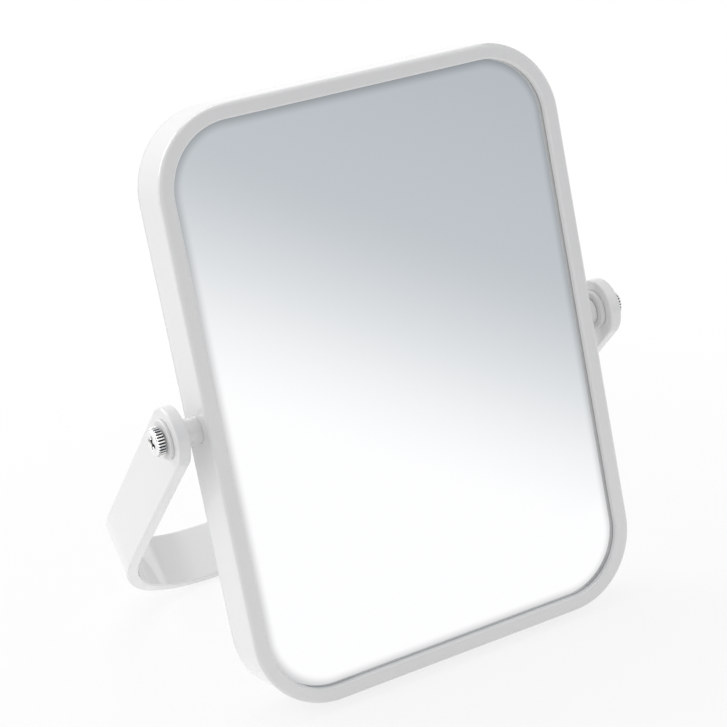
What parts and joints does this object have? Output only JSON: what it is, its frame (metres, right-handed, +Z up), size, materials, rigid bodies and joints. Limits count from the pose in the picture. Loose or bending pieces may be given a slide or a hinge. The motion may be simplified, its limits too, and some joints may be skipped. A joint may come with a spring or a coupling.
{
  "type": "makeup mirror",
  "caption": "Free-standing tilting makeup mirror: a rounded rectangular two-sided mirror head in a white frame, hung between the ears of a U-shaped bow stand on knurled pivot screws.",
  "frame": {"origin": "on the floor, under the middle of the standing mirror's width and depth", "axes": "+X along the pivot, to the right of a person who looks into the plain mirror; +Y to the back, where the bow stands; +Z up"},
  "size_m": [0.18, 0.13, 0.1998],
  "materials": {
    "white_plastic": "gloss",
    "mirror_glass": "polished",
    "nylon": "satin",
    "chrome": "polished",
    "spring_steel": "satin",
    "brass": "satin",
    "foam": "matte",
    "hardboard": "matte"
  },
  "bodies": {
    "head": {"frame": "white_plastic", "rear_bezel": "white_plastic", "front_mirror": "mirror_glass", "rear_mirror": "mirror_glass", "front_pad": "foam", "rear_pad": "foam", "centre_board": "hardboard", "left_collar": "white_plastic", "right_collar": "white_plastic", "left_insert": "brass", "right_insert": "brass"},
    "bow": {"bow": "white_plastic", "left_bush": "nylon", "left_friction_washer": "nylon", "left_spring_washer": "spring_steel", "right_bush": "nylon", "right_friction_washer": "nylon", "right_spring_washer": "spring_steel"},
    "left_screw": {"left_pivot_screw": "chrome"},
    "right_screw": {"right_pivot_screw": "chrome"}
  },
  "joints": [
    {"name": "bow_swing", "type": "hinge", "parent": "head", "child": "bow", "pos_m": [0, -0.03783, 0.09992], "axis": [1, 0, 0], "continuous": true},
    {"name": "left_screw_turn", "type": "hinge", "parent": "head", "child": "left_screw", "pos_m": [0, -0.03783, 0.09992], "axis": [-1, 0, 0], "range_deg": [0, 180]},
    {"name": "right_screw_turn", "type": "hinge", "parent": "head", "child": "right_screw", "pos_m": [0, -0.03783, 0.09992], "axis": [1, 0, 0], "range_deg": [0, 180]}
  ]
}
